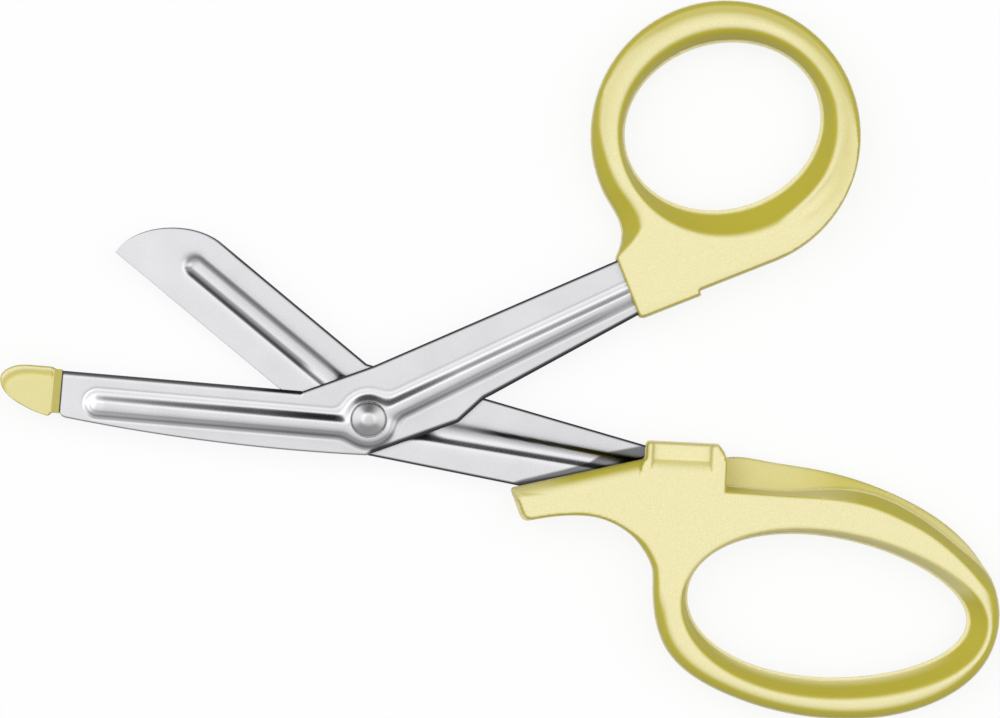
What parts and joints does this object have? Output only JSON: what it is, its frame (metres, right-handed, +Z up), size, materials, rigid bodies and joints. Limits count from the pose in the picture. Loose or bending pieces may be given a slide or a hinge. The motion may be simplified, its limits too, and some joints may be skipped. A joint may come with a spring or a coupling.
{
  "type": "bandage scissors",
  "caption": "Bandage scissors with angled stamped blades, a blunt plastic tip guard, a domed pivot rivet and moulded thumb and finger loops.",
  "frame": {"origin": "on the pivot's axis, at the flat end of the rivet's tail, which lies on the ground", "axes": "+X from the tip guard towards the handles, +Z up out of the front of the scissors as they lie flat, +Y towards the thumb loop"},
  "size_m": [0.1851, 0.1332, 0.009],
  "materials": {
    "steel": "satin",
    "rivet_steel": "polished",
    "yellow_plastic": "fine matt grain"
  },
  "bodies": {
    "thumb_arm": {"front_blade": "steel", "thumb_handle": "yellow_plastic", "tip_guard": "yellow_plastic", "pivot_rivet": "rivet_steel"},
    "finger_arm": {"rear_blade": "steel", "finger_handle": "yellow_plastic"}
  },
  "joints": [
    {"name": "pivot", "type": "hinge", "parent": "thumb_arm", "child": "finger_arm", "pos_m": [0, 0, 0.0045], "axis": [0, 0, 1], "range_deg": [-36, 24.3]}
  ]
}
